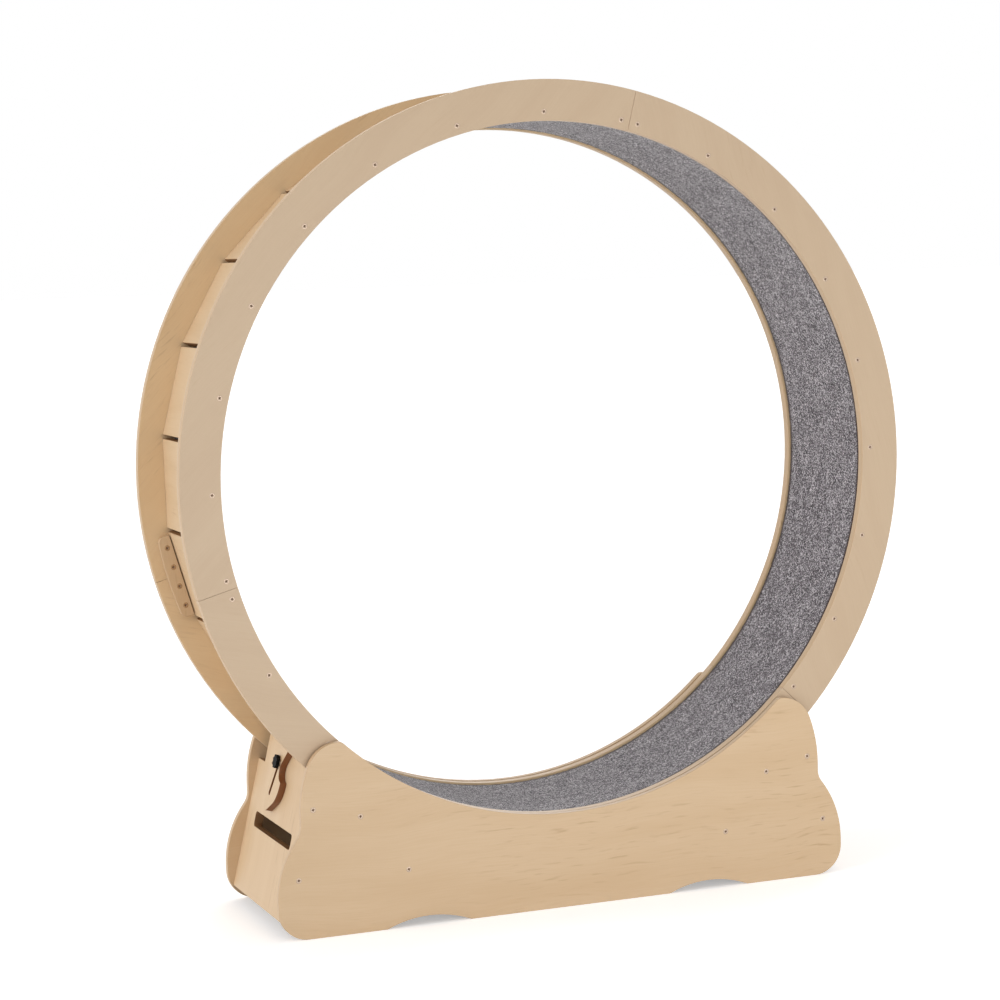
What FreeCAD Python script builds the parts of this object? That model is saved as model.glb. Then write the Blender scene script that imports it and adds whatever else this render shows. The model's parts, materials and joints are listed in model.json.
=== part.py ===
"""Cat exercise wheel of birch plywood, one metre across.

Two flat rings, each of three sections, carry 24 slats with a carpet runner inside them. The
wheel lies on four flanged rollers inside a low base of two side plates and two leaning end
panels. A slotted lever under a thumb knob on the left end panel locks the wheel.

Frame: millimetres, +Z up, the wheel's axis along Y, the front towards -Y and the left towards
-X. The origin is on the floor, below the wheel's centre.
"""
import FreeCAD, Part
import math
import os
import Sketcher
from FreeCAD import Placement, Rotation, Vector

doc = FreeCAD.newDocument("CatWheel")

# ---------------------------------------------------------------- driving dimensions

SIZES = (
    # wheel
    ("wheel_radius", 500.0, "outer edge of the rings"),
    ("ring_width", 52.5, "rings, from the outer edge to the inner one"),
    ("ring_ply", 12.0, "thickness of the rings"),
    ("ring_sections", 3, "sections in each ring"),
    ("seam_gap", 0.4, "between two sections of a ring"),
    ("track_width", 204.0, "between the two rings, so the length of a slat"),
    ("section_slats", 8, "slats to one ring section"),
    ("slat_ply", 12.0, "thickness of the slats"),
    ("slat_rise", 5.5, "from the rings' inner edge out to the slats' inner face"),
    ("slat_gap", 2.3, "between two slats, at their inner faces"),
    ("carpet_thickness", 3.5, "carpet runner with its pile"),
    ("carpet_clearance", 0.3, "carpet to the slats"),
    ("carpet_side_gap", 0.5, "carpet to the rings"),
    ("wheel_turn", 0.6, "degrees that the wheel has turned at rest"),
    # joint plates behind the seams
    ("plate_ply", 9.0, "thickness of the joint plates"),
    ("plate_length", 110.0, "along the ring"),
    ("plate_slat_gap", 1.5, "joint plate to the slat below it"),
    ("plate_flange_gap", 11.0, "joint plate to the rollers' flanges"),
    ("plate_corner", 8.0, "rounding of the outer corners"),
    ("plate_screw_pitch", 26.5, "between the four screws of a joint plate"),
    ("plate_screw_inset", 7.5, "screws from the plate's straight edge"),
    # wood screws
    ("screw_head", 3.75, "radius of a countersunk head, also its depth"),
    ("joint_screw_offset", 11.8, "ring screws on each side of a seam"),
    # side plates
    ("ground_clearance", 71.5, "lowest point of the wheel above the floor"),
    ("side_gap", 3.0, "ring to side plate"),
    ("side_ply", 9.0, "thickness of the side plates"),
    ("end_setback", 102.5, "end of the base inside the wheel's outer edge"),
    ("cradle_lip", 0.5, "cradle's edge inside the rings' inner edge"),
    ("foot_corner", 39.0, "radius of the lower outer corners"),
    ("foot_straight", 9.0, "upright edge above that corner"),
    ("lobe_radius", 130.0, "swell above the foot"),
    ("waist_radius", 26.0, "hollow above the swell"),
    ("edge_setback", 33.1, "upright edge above that hollow inside the end of the base"),
    ("edge_straight", 12.0, "length of that edge, up to the long curve of the flank"),
    ("shoulder_radius", 45.0, "round shoulder at the top"),
    ("shoulder_inset", 8.4, "shoulder's circle inside that edge"),
    ("shoulder_reach", 35.6, "shoulder's centre outside the cradle's edge"),
    ("peak_round", 9.0, "rounding where the shoulder meets the cradle"),
    ("arch_centre", 198.0, "middle of a foot arch from the middle of the base"),
    ("arch_width", 114.0, "foot arch"),
    ("arch_rise", 11.7, "foot arch"),
    # end panels
    ("end_ply", 12.0, "thickness of the end panels"),
    ("end_lean", 14.0, "degrees that the end panels lean in"),
    ("end_inset", 2.0, "panel's outer face inside the end of the base, at the floor"),
    ("end_bottom", 21.0, "panel's lower edge above the floor, along the slope"),
    ("end_ring_gap", 11.6, "panel's shoulders to the rings"),
    ("tongue_slat_gap", 7.4, "panel's tongue to the slats' corners"),
    ("tongue_width", 176.0, "part of the panel that stands up between the rings"),
    ("tongue_corner", 6.0, "rounding of the tongue"),
    ("handle_width", 164.0, "handle slot"),
    ("handle_height", 20.0, "handle slot"),
    ("handle_corner", 5.0, "handle slot"),
    ("handle_level", 119.4, "middle of the handle slot up the slope"),
    ("end_screw_low", 80.4, "lower screw up the slope"),
    ("end_screw_drop", 24.0, "upper screw below the panel's shoulders"),
    # roller boards
    ("board_ply", 12.0, "thickness of the roller boards"),
    ("board_lean", 39.6, "degrees that the roller boards lean out"),
    ("board_ring_gap", 3.4, "board's upper edge to the rings"),
    ("board_chamfer", 6.0, "on that edge"),
    ("board_tail", 26.4, "board below the roller's pin"),
    ("board_screw_drop", 8.0, "upper screw below the board's upper edge"),
    ("board_screw_rise", 11.5, "lower screw above the roller's pin"),
    # rollers, with their brackets, bearings and pins
    ("roller_radius", 20.0, "tread"),
    ("roller_flange", 4.0, "flange above the tread"),
    ("flange_width", 6.0, "flange with its sloping side"),
    ("flange_slope", 2.0, "sloping side of the flange"),
    ("flange_gap", 1.0, "flange to the ring's inner face"),
    ("roller_drop", 251.6, "pin from the wheel's axis, along the board"),
    ("pin_height", 28.0, "pin above the board"),
    ("running_gap", 0.3, "tread to the ring"),
    ("bearing_radius", 11.0, "outer radius of the ball bearings"),
    ("bearing_width", 7.0, "each of the two in a roller"),
    ("pin_radius", 4.0, "roller pins"),
    ("pin_head", 7.0, "radius of the pins' heads"),
    ("pin_clearance", 0.05, "round the pins"),
    ("bracket_steel", 2.0, "thickness of the brackets"),
    ("bracket_gap", 0.6, "bracket to the roller and to the side plate"),
    ("bracket_width", 48.0, "along the board"),
    ("bracket_tab", 35.6, "tab with the screws, towards the wheel's middle"),
    ("bracket_screw_pitch", 32.0, "between the two screws of a bracket"),
    ("pan_rise", 2.0, "height of those pan heads"),
    ("pan_crown", 2.75, "radius of their flat tops"),
    ("cheek_round", 9.0, "bracket's cheek round the pin"),
    ("cheek_width", 36.0, "bracket's cheek at the board"),
    # wheel lock
    ("knob_drop", 26.8, "knob's axis below the top of the tongue"),
    ("lock_gap", 0.2, "between panel, lever, washer and knob"),
    ("lever_ply", 9.0, "thickness of the lever"),
    ("lever_turn", 19.2, "degrees that the lever is turned at rest"),
    ("lever_slot", 6.4, "width of the slot"),
    ("lever_travel", 45.8, "length of the slot between its end centres"),
    ("tail_height", 30.0, "tail's corners above the knob's axis"),
    ("tail_width", 42.0, "across the tail's corners"),
    ("tail_notch", 2.5, "depth of the shallow notch in the tail's end"),
    ("neck_width", 18.0, "narrowest place"),
    ("neck_level", 2.1, "narrowest place below the knob's axis"),
    ("gill_width", 43.0, "across the ends of the neck's hollows"),
    ("gill_level", 16.0, "those ends below the knob's axis"),
    ("gill_step", 5.9, "step from there out to the belly"),
    ("belly_radius", 35.0, "side of the belly"),
    ("belly_width", 59.6, "widest place"),
    ("belly_level", 28.7, "widest place below the knob's axis"),
    ("nose_radius", 10.9, "lower end"),
    ("nose_level", 71.0, "tip of the nose below the knob's axis"),
    ("knob_radius", 9.0, "thumb knob"),
    ("knob_height", 5.0, "thumb knob"),
    ("knob_lobes", 8, "hollows round the knob"),
    ("hollow_radius", 2.5, "each of those hollows"),
    ("hollow_circle", 10.0, "radius of the circle of their centres"),
    ("stud_radius", 2.5, "threaded stud of the knob"),
    ("stud_clearance", 0.05, "round the stud in the insert"),
    ("stud_end_gap", 2.0, "end of the stud inside the panel's inner face"),
    ("washer_radius", 8.0, "under the knob"),
    ("washer_steel", 1.0, "thickness of the washer"),
    ("insert_radius", 4.5, "threaded insert in the panel"),
)

sheet = doc.addObject("Spreadsheet::Sheet", "Sizes")
for row, (alias, value, note) in enumerate(SIZES, start=1):
    sheet.set("A%d" % row, note)
    sheet.set("B%d" % row, str(value))
    sheet.setAlias("B%d" % row, alias)
doc.recompute()


def size(alias):
    """Value of one cell of the sheet."""
    return float(getattr(sheet, alias))


# ---------------------------------------------------------------- sizes that follow from these

FRONT, REAR = -1, 1
LEFT, RIGHT = -1, 1
SIDES = (("front", FRONT), ("rear", REAR))
ENDS = (("left", LEFT), ("right", RIGHT))

section_slats = round(size("section_slats"))
ring_sections = round(size("ring_sections"))
slat_count = ring_sections * section_slats
slat_pitch = 360.0 / slat_count
seam_slat = 5  # the first seam is over this slat, counted from the one on the right

axis_height = size("wheel_radius") + size("ground_clearance")
ring_inner = size("wheel_radius") - size("ring_width")
slat_inner = ring_inner + size("slat_rise")
slat_outer = slat_inner + size("slat_ply")
slat_width = 2 * slat_inner * math.tan(math.radians(slat_pitch / 2)) - size("slat_gap")
slat_corner = math.hypot(slat_outer, slat_width / 2)
screw_circle = slat_inner + size("slat_ply") / 2
track_half = size("track_width") / 2
ring_face = track_half + size("ring_ply")
side_face = ring_face + size("side_gap")
base_half = size("wheel_radius") - size("end_setback")

WHEEL_CENTRE = Vector(0, 0, axis_height)
Y_DIRECTION = Vector(0, 1, 0)
Z_DIRECTION = Vector(0, 0, 1)
AXIS_HEIGHT = "Sizes.wheel_radius + Sizes.ground_clearance"
TRACK_HALF = "Sizes.track_width / 2"
SIDE_FACE = TRACK_HALF + " + Sizes.ring_ply + Sizes.side_gap"


# ---------------------------------------------------------------- sketch and feature helpers

def bind(thing, **expressions):
    """Bind properties of an object to cells of the sheet."""
    for name, expression in expressions.items():
        thing.setExpression(name, expression)


def place(thing, placement, **expressions):
    """Put a sub-part in its place, with coordinates of it bound to the sheet."""
    thing.Placement = placement
    for coordinate, expression in expressions.items():
        thing.setExpression("Placement.Base." + coordinate, expression)


def about_wheel(angle):
    """Placement at the wheel's centre, turned from +X towards +Z by an angle in degrees."""
    return Placement(WHEEL_CENTRE, Rotation(Y_DIRECTION, -angle))


def half_turn():
    """The turn that takes the left half of the base to the right."""
    return Placement(Vector(), Rotation(Z_DIRECTION, 180))


def new_body(label):
    body = doc.addObject("PartDesign::Body", label)
    body.Label = label
    return body


def origin_of(body, role):
    """Plane or axis of a body's origin."""
    return next(item for item in body.Origin.OriginFeatures if item.Role == role)


def new_sketch(body, role, name, offset=Vector()):
    """Empty sketch on an origin plane, moved by an offset in the plane's own axes."""
    sketch = body.newObject("Sketcher::SketchObject", name)
    sketch.AttachmentSupport = [(origin_of(body, role), "")]
    sketch.MapMode = "FlatFace"
    sketch.AttachmentOffset = Placement(offset, Rotation())
    return sketch


def feature(body, kind, name, profile, **values):
    """A feature made from a sketch."""
    made = body.newObject("PartDesign::" + kind, name)
    made.Profile = profile
    for key, value in values.items():
        setattr(made, key, value)
    profile.Visibility = False
    return made


def polar_pattern(body, name, original, axis, count):
    """Copies of a feature, evenly round one of the body's axes."""
    pattern = body.newObject("PartDesign::PolarPattern", name)
    pattern.Originals = [original]
    pattern.Axis = (origin_of(body, axis), [""])
    pattern.Angle = 360
    pattern.Occurrences = count
    body.Tip = pattern
    return pattern


def line(start, end):
    return Part.LineSegment(Vector(start[0], start[1], 0), Vector(end[0], end[1], 0))


def circle(centre, radius):
    return Part.Circle(Vector(centre[0], centre[1], 0), Z_DIRECTION, radius)


def arc(centre, radius, start, end):
    """Arc about a centre from one point counter-clockwise to another."""
    first = math.atan2(start[1] - centre[1], start[0] - centre[0])
    last = math.atan2(end[1] - centre[1], end[0] - centre[0])
    if last <= first:
        last += 2 * math.pi
    return Part.ArcOfCircle(circle(centre, radius), first, last)


def on_circle(centre, radius, angle):
    """Point of a circle at an angle in degrees."""
    turn = math.radians(angle)
    return (centre[0] + radius * math.cos(turn), centre[1] + radius * math.sin(turn))


def polygon(points):
    """Closed run of straight lines."""
    return [line(a, b) for a, b in zip(points, points[1:] + points[:1])]


def rounded(points, radii):
    """Closed outline through points, given counter-clockwise, each corner with its radius."""
    count = len(points)
    stops = []
    for i in range(count):
        corner = Vector(points[i][0], points[i][1], 0)
        back = Vector(points[i - 1][0], points[i - 1][1], 0) - corner
        ahead = Vector(points[(i + 1) % count][0], points[(i + 1) % count][1], 0) - corner
        half = back.getAngle(ahead) / 2
        back.normalize()
        ahead.normalize()
        reach = radii[i] / math.tan(half)
        middle = (back + ahead).normalize() * (radii[i] / math.sin(half))
        outer_corner = back.cross(ahead).z < 0
        stops.append((corner + back * reach, corner + ahead * reach, corner + middle,
                      outer_corner))
    pieces = []
    for i in range(count):
        first, last, centre, outer_corner = stops[i]
        if radii[i] > 0:
            ends = (first, last) if outer_corner else (last, first)
            pieces.append(arc(centre, radii[i], *ends))
        pieces.append(line(last, stops[(i + 1) % count][0]))
    return pieces


def meet(centre_a, radius_a, centre_b, radius_b, right_hand):
    """Point where two circles cross, right or left of the way from a to b."""
    dx, dy = centre_b[0] - centre_a[0], centre_b[1] - centre_a[1]
    apart = math.hypot(dx, dy)
    along = (apart ** 2 + radius_a ** 2 - radius_b ** 2) / (2 * apart)
    across = math.sqrt(radius_a ** 2 - along ** 2)
    if right_hand:
        across = -across
    return (centre_a[0] + (along * dx - across * dy) / apart,
            centre_a[1] + (along * dy + across * dx) / apart)


def toward(centre, radius, point):
    """Point of a circle in the direction of another point."""
    return on_circle(centre, radius, math.degrees(math.atan2(point[1] - centre[1],
                                                             point[0] - centre[0])))


def rectangle(sketch, width, height):
    """Rectangle round the sketch's origin, its sides bound to two expressions."""
    w, t = (sketch.evalExpression(e) / 2 for e in (width, height))
    sketch.addGeometry(polygon([(-w, -t), (w, -t), (w, t), (-w, t)]), False)
    for i in range(4):
        sketch.addConstraint(Sketcher.Constraint("Coincident", i, 2, (i + 1) % 4, 1))
    sketch.addConstraint(Sketcher.Constraint("Horizontal", 0))
    sketch.addConstraint(Sketcher.Constraint("Horizontal", 2))
    sketch.addConstraint(Sketcher.Constraint("Vertical", 1))
    sketch.addConstraint(Sketcher.Constraint("Vertical", 3))
    sketch.addConstraint(Sketcher.Constraint("Symmetric", 0, 1, 1, 2, -1, 1))
    wide = sketch.addConstraint(Sketcher.Constraint("DistanceX", 0, 1, 0, 2, 2 * w))
    tall = sketch.addConstraint(Sketcher.Constraint("DistanceY", 1, 1, 1, 2, 2 * t))
    sketch.setExpression("Constraints[%d]" % wide, width)
    sketch.setExpression("Constraints[%d]" % tall, height)


def bound_circle(sketch, radius):
    """Circle round the sketch's origin, its radius bound to an expression."""
    index = sketch.addGeometry(circle((0, 0), sketch.evalExpression(radius)), False)
    sketch.addConstraint(Sketcher.Constraint("Coincident", index, 3, -1, 1))
    bound = sketch.addConstraint(Sketcher.Constraint("Radius", index,
                                                     sketch.evalExpression(radius)))
    sketch.setExpression("Constraints[%d]" % bound, radius)


def countersunk(x, z, face, outward):
    """Countersunk head, its flat side in the plane y = face: eight-sided, as there are many."""
    head = size("screw_head")
    corners = [on_circle((x, z), head, step * 45) for step in range(9)]
    flat = Part.makePolygon([Vector(corner[0], face, corner[1]) for corner in corners])
    point = Part.Vertex(x, face - outward * head, z)
    return Part.makeLoft([flat, point], True, True)


def group(label, solids):
    """Sub-part of several like solids, such as screws."""
    made = doc.addObject("Part::Feature", label)
    made.Label = label
    made.Shape = Part.makeCompound(solids)
    return made


def seated(label, board, screws, count):
    """A board with the seats of the screw heads that reach into it."""
    made = doc.addObject("Part::Cut", label)
    made.Label = label
    made.Base = board
    made.Tool = screws
    doc.recompute()
    one_head = 2 * math.sqrt(2) * size("screw_head") ** 3 / 3
    expect_cut(made, board.Shape.Volume, count * one_head)
    return made


def expect_cut(made, whole, removed):
    """Stop if cuts did not take away what they should."""
    if abs(whole - made.Shape.Volume - removed) > 0.02 * removed:
        raise RuntimeError("%s: cuts took %.2f, not %.2f"
                           % (made.Label, whole - made.Shape.Volume, removed))


parts = []


# ---------------------------------------------------------------- wheel

def ring_outline():
    """One section: a sector from the seam before its first slat to the seam after its last."""
    outer, inner = size("wheel_radius"), ring_inner
    gap = math.degrees(size("seam_gap") / 2 / outer)
    start = -slat_pitch + gap
    end = start + 360.0 / ring_sections - 2 * gap
    corners = [on_circle((0, 0), radius, angle)
               for radius, angle in ((outer, start), (outer, end), (inner, end), (inner, start))]
    return [arc((0, 0), outer, corners[0], corners[1]), line(corners[1], corners[2]),
            arc((0, 0), inner, corners[3], corners[2]), line(corners[3], corners[0])]


def ring_section(label, outward, angle, screws):
    """Ring section with a screw seat over each slat and one beside each seam."""
    body = new_body(label + "_board")
    sketch = new_sketch(body, "XZ_Plane", label + "_outline")
    sketch.addGeometry(ring_outline(), False)
    pad = feature(body, "Pad", label + "_pad", sketch, Reversed=outward > 0)
    bind(pad, Length="Sizes.ring_ply")
    place(body, about_wheel(angle), y="%d * %s" % (outward, TRACK_HALF), z=AXIS_HEIGHT)
    parts.append(seated(label, body, screws, section_slats + 1))


def seam_angles():
    """Angles of the seams, the same in both rings."""
    first = size("wheel_turn") + seam_slat * slat_pitch
    return [first + k * 360.0 / ring_sections for k in range(ring_sections)]


def ring_screw_angles():
    """One screw over each slat, and two over a slat that carries a seam."""
    seams = [seam_slat + k * section_slats for k in range(ring_sections)]
    beside = math.degrees(math.asin(size("joint_screw_offset") / screw_circle))
    angles = []
    for k in range(slat_count):
        middle = size("wheel_turn") + k * slat_pitch
        on_seam = any((k - seam) % slat_count == 0 for seam in seams)
        angles += [middle - beside, middle + beside] if on_seam else [middle]
    return angles


def slat(number):
    """Flat board across the track, tangent to the wheel."""
    label = "slat_%02d" % number
    body = new_body(label)
    sketch = new_sketch(body, "YZ_Plane", label + "_outline")
    bind(sketch, **{"AttachmentOffset.Base.z":
                    "Sizes.wheel_radius - Sizes.ring_width + Sizes.slat_rise"})
    rectangle(sketch, "Sizes.track_width",
              "2 * (Sizes.wheel_radius - Sizes.ring_width + Sizes.slat_rise)"
              " * tan(180 deg / (Sizes.ring_sections * Sizes.section_slats)) - Sizes.slat_gap")
    pad = feature(body, "Pad", label + "_board", sketch)
    bind(pad, Length="Sizes.slat_ply")
    angle = size("wheel_turn") + (number - 1) * slat_pitch
    place(body, about_wheel(angle), z=AXIS_HEIGHT)
    parts.append(body)


def carpet_runner():
    """Closed band of carpet inside the slats."""
    body = new_body("carpet_runner")
    back = "Sizes.wheel_radius - Sizes.ring_width + Sizes.slat_rise" \
           " - Sizes.carpet_clearance"
    sketch = new_sketch(body, "XZ_Plane", "carpet_outline")
    bound_circle(sketch, back)
    bound_circle(sketch, back + " - Sizes.carpet_thickness")
    pad = feature(body, "Pad", "carpet_band", sketch, Midplane=True)
    bind(pad, Length="Sizes.track_width - 2 * Sizes.carpet_side_gap")
    place(body, about_wheel(0), z=AXIS_HEIGHT)
    parts.append(body)


def plate_outline():
    """Joint plate: straight towards the slats, round towards the ring's outer edge."""
    near = slat_outer + size("plate_slat_gap")
    far = size("wheel_radius") - size("roller_flange") - size("plate_flange_gap")
    half, corner = size("plate_length") / 2, size("plate_corner")
    corner_x = math.sqrt((far - corner) ** 2 - (half - corner) ** 2)
    upper, lower = (corner_x, half - corner), (corner_x, corner - half)
    upper_end, lower_end = toward((0, 0), far, upper), toward((0, 0), far, lower)
    return [line((near, half), (near, -half)), line((near, -half), (corner_x, -half)),
            arc(lower, corner, (corner_x, -half), lower_end),
            arc((0, 0), far, lower_end, upper_end),
            arc(upper, corner, upper_end, (corner_x, half)),
            line((corner_x, half), (near, half))]


def plate_screw_places():
    """Places of a joint plate's screws, along the radius and along the ring."""
    x = slat_outer + size("plate_slat_gap") + size("plate_screw_inset")
    return [(x, step * size("plate_screw_pitch")) for step in (-1.5, -0.5, 0.5, 1.5)]


def joint_plates(name, outward, screws):
    """A plate behind each seam of one ring, screwed on from the wheel's inside."""
    label = name + "_joint_plates"
    body = new_body(label + "_boards")
    sketch = new_sketch(body, "XZ_Plane", label + "_outline")
    sketch.addGeometry(plate_outline(), False)
    pad = feature(body, "Pad", label + "_pad", sketch, Reversed=outward < 0)
    bind(pad, Length="Sizes.plate_ply")
    pattern = polar_pattern(body, label + "_round", pad, "Y_Axis", ring_sections)
    place(body, about_wheel(seam_angles()[0]), y="%d * %s" % (outward, TRACK_HALF),
          z=AXIS_HEIGHT)
    doc.recompute()
    if len(pattern.Shape.Solids) != ring_sections:
        raise RuntimeError(label + ": a plate is missing")
    parts.append(seated(label, body, screws, ring_sections * len(plate_screw_places())))


def ring_screws():
    """Screws through the rings into the ends of the slats."""
    heads = []
    for name, outward in SIDES:
        for angle in ring_screw_angles():
            x, z = on_circle((0, axis_height), screw_circle, angle)
            heads.append(countersunk(x, z, outward * ring_face, outward))
    return group("ring_screws", heads)


def joint_plate_screws():
    """Screws that hold the joint plates, four to a plate."""
    heads = []
    for name, outward in SIDES:
        face = outward * (track_half - size("plate_ply"))
        for angle in seam_angles():
            turn = about_wheel(angle).Matrix
            heads += [countersunk(x, z, face, -outward).transformed(turn)
                      for x, z in plate_screw_places()]
    return group("joint_plate_screws", heads)


rim_screws, plate_screws = ring_screws(), joint_plate_screws()
parts += [rim_screws, plate_screws]
for side_name, side in SIDES:
    for k, seam in enumerate(seam_angles(), start=1):
        ring_section("%s_ring_section_%d" % (side_name, k), side, seam + slat_pitch, rim_screws)
    joint_plates(side_name, side, plate_screws)
for k in range(slat_count):
    slat(k + 1)
carpet_runner()


# ---------------------------------------------------------------- base

def panel_placement(x_sign):
    """An end panel's frame: local X into the base, local Z up the slope, from the floor."""
    foot = Placement(Vector(size("end_inset") - base_half, 0, 0),
                     Rotation(Y_DIRECTION, size("end_lean")))
    return foot if x_sign == LEFT else half_turn() * foot


def slope_level(radius):
    """How far up the slope the panel's inner face comes to a radius of the wheel."""
    to_axis = panel_placement(LEFT).inverse().multVec(WHEEL_CENTRE)
    return to_axis.z - math.sqrt(radius ** 2 - (to_axis.x - size("end_ply")) ** 2)


panel_shoulder = slope_level(size("wheel_radius") + size("end_ring_gap"))
tongue_top = slope_level(slat_corner + size("tongue_slat_gap"))
knob_level = tongue_top - size("knob_drop")

# a roller board's frame at the wheel's centre: local X out through the board, local Z up it
pin_circle = size("wheel_radius") + size("running_gap") + size("roller_radius")
pin_reach = math.sqrt(pin_circle ** 2 - size("roller_drop") ** 2)
board_face = pin_reach + size("pin_height")
board_edge = -math.sqrt((size("wheel_radius") + size("board_ring_gap")) ** 2 - board_face ** 2)
board_top = board_edge + size("board_chamfer")
board_bottom = -size("roller_drop") - size("board_tail")


def board_placement(x_sign):
    right = about_wheel(-size("board_lean"))
    return right if x_sign == RIGHT else half_turn() * right


def side_screw_places():
    """Places (x, z) of the screws in the right half of a side plate."""
    panel, board = panel_placement(RIGHT), board_placement(RIGHT)
    middle = size("board_ply") / 2 + board_face
    places = [panel.multVec(Vector(size("end_ply") / 2, 0, level))
              for level in (size("end_screw_low"), panel_shoulder - size("end_screw_drop"))]
    places += [board.multVec(Vector(middle, 0, level))
               for level in (board_top - size("board_screw_drop"),
                             size("board_screw_rise") - size("roller_drop"))]
    return [(point.x, point.z) for point in places]


def right_profile():
    """Right half of a side plate's outline, from the foot up and over to the cradle's low."""
    hub = (0, axis_height)
    cradle = ring_inner - size("cradle_lip")
    arch, half_arch = size("arch_centre"), size("arch_width") / 2
    arch_radius = (half_arch ** 2 + size("arch_rise") ** 2) / (2 * size("arch_rise"))
    arch_hub = (arch, size("arch_rise") - arch_radius)
    corner = size("foot_corner")
    corner_hub = (base_half - corner, corner)
    lobe_hub = (base_half - size("lobe_radius"), corner + size("foot_straight"))
    # the waist touches the swell and, from outside, the upright edge above it
    edge = base_half - size("edge_setback")
    waist_x = edge + size("waist_radius")
    waist_z = lobe_hub[1] + math.sqrt((size("lobe_radius") + size("waist_radius")) ** 2
                                      - (waist_x - lobe_hub[0]) ** 2)
    waist_hub = (waist_x, waist_z)
    waist_low = toward(lobe_hub, size("lobe_radius"), waist_hub)
    waist_high = (edge, waist_z)
    # the flank touches that edge and the shoulder, both from inside
    shoulder = size("shoulder_radius")
    shoulder_x = edge - size("shoulder_inset") - shoulder
    shoulder_z = axis_height - math.sqrt((cradle + size("shoulder_reach")) ** 2
                                         - shoulder_x ** 2)
    shoulder_hub = (shoulder_x, shoulder_z)
    flank_low = (edge, waist_z + size("edge_straight"))
    inset, drop = edge - shoulder_x, shoulder_z - flank_low[1]
    flank = (inset ** 2 + drop ** 2 - shoulder ** 2) / (2 * size("shoulder_inset"))
    flank_hub = (edge - flank, flank_low[1])
    flank_high = toward(flank_hub, flank, shoulder_hub)
    # the rounded peak touches the shoulder from inside and the cradle from outside
    peak = size("peak_round")
    peak_hub = meet(shoulder_hub, shoulder - peak, hub, cradle + peak, True)
    shoulder_high = toward(shoulder_hub, shoulder, peak_hub)
    cradle_end = toward(hub, cradle, peak_hub)
    cradle_low = (0, axis_height - cradle)
    return [line((0, 0), (arch - half_arch, 0)),
            arc(arch_hub, arch_radius, (arch + half_arch, 0), (arch - half_arch, 0)),
            line((arch + half_arch, 0), (corner_hub[0], 0)),
            arc(corner_hub, corner, (corner_hub[0], 0), (base_half, corner)),
            line((base_half, corner), (base_half, lobe_hub[1])),
            arc(lobe_hub, size("lobe_radius"), (base_half, lobe_hub[1]), waist_low),
            arc(waist_hub, size("waist_radius"), waist_high, waist_low),
            line(waist_high, flank_low),
            arc(flank_hub, flank, flank_low, flank_high),
            arc(shoulder_hub, shoulder, flank_high, shoulder_high),
            arc(peak_hub, peak, shoulder_high, cradle_end),
            arc(hub, cradle, cradle_low, cradle_end),
            line(cradle_low, (0, 0))]


def side_plate(name, outward, screws):
    """Side plate: half of it padded and mirrored, with a seat for each screw."""
    label = name + "_side_plate"
    body = new_body(label + "_board")
    sketch = new_sketch(body, "XZ_Plane", label + "_outline")
    sketch.addGeometry(right_profile(), False)
    pad = feature(body, "Pad", label + "_pad", sketch, Reversed=outward > 0)
    bind(pad, Length="Sizes.side_ply")
    mirror = body.newObject("PartDesign::Mirrored", label + "_whole")
    mirror.Originals = [pad]
    mirror.MirrorPlane = (origin_of(body, "YZ_Plane"), [""])
    body.Tip = mirror
    doc.recompute()
    if abs(mirror.Shape.Volume - 2 * pad.Shape.Volume) > 1:
        raise RuntimeError(label + ": the mirrored half is missing")
    place(body, Placement(), y="%d * (%s)" % (outward, SIDE_FACE))
    parts.append(seated(label, body, screws, 2 * len(side_screw_places())))


def end_panel(name, x_sign):
    """Leaning end panel: shoulders under the rings, a tongue between them, a handle slot."""
    label = name + "_end_panel"
    body = new_body(label)
    wide, narrow = side_face, size("tongue_width") / 2
    bottom, corner = size("end_bottom"), size("tongue_corner")
    outline = [(-wide, bottom), (wide, bottom), (wide, panel_shoulder), (narrow, panel_shoulder),
               (narrow, tongue_top), (-narrow, tongue_top), (-narrow, panel_shoulder),
               (-wide, panel_shoulder)]
    sketch = new_sketch(body, "YZ_Plane", label + "_outline")
    sketch.addGeometry(rounded(outline, [0, 0, 0, 0, corner, corner, 0, 0]), False)
    pad = feature(body, "Pad", label + "_board", sketch)
    bind(pad, Length="Sizes.end_ply")
    doc.recompute()
    whole = pad.Shape.Volume
    w, t = size("handle_width") / 2, size("handle_height") / 2
    slot = new_sketch(body, "YZ_Plane", label + "_slot_outline", Vector(0, size("handle_level"), 0))
    slot.addGeometry(rounded([(-w, -t), (w, -t), (w, t), (-w, t)],
                             [size("handle_corner")] * 4), False)
    cut = feature(body, "Pocket", label + "_slot", slot, Reversed=True)
    bind(cut, Length="Sizes.end_ply")
    doc.recompute()
    corners = (4 - math.pi) * size("handle_corner") ** 2
    expect_cut(body, whole, (4 * w * t - corners) * size("end_ply"))
    if x_sign == LEFT:
        whole = body.Shape.Volume
        hole = new_sketch(body, "YZ_Plane", label + "_lock_outline", Vector(0, knob_level, 0))
        bound_circle(hole, "Sizes.insert_radius")
        bore = feature(body, "Pocket", label + "_lock_hole", hole, Reversed=True)
        bind(bore, Length="Sizes.end_ply")
        doc.recompute()
        expect_cut(body, whole, math.pi * size("insert_radius") ** 2 * size("end_ply"))
    body.Placement = panel_placement(x_sign)
    parts.append(body)


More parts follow.
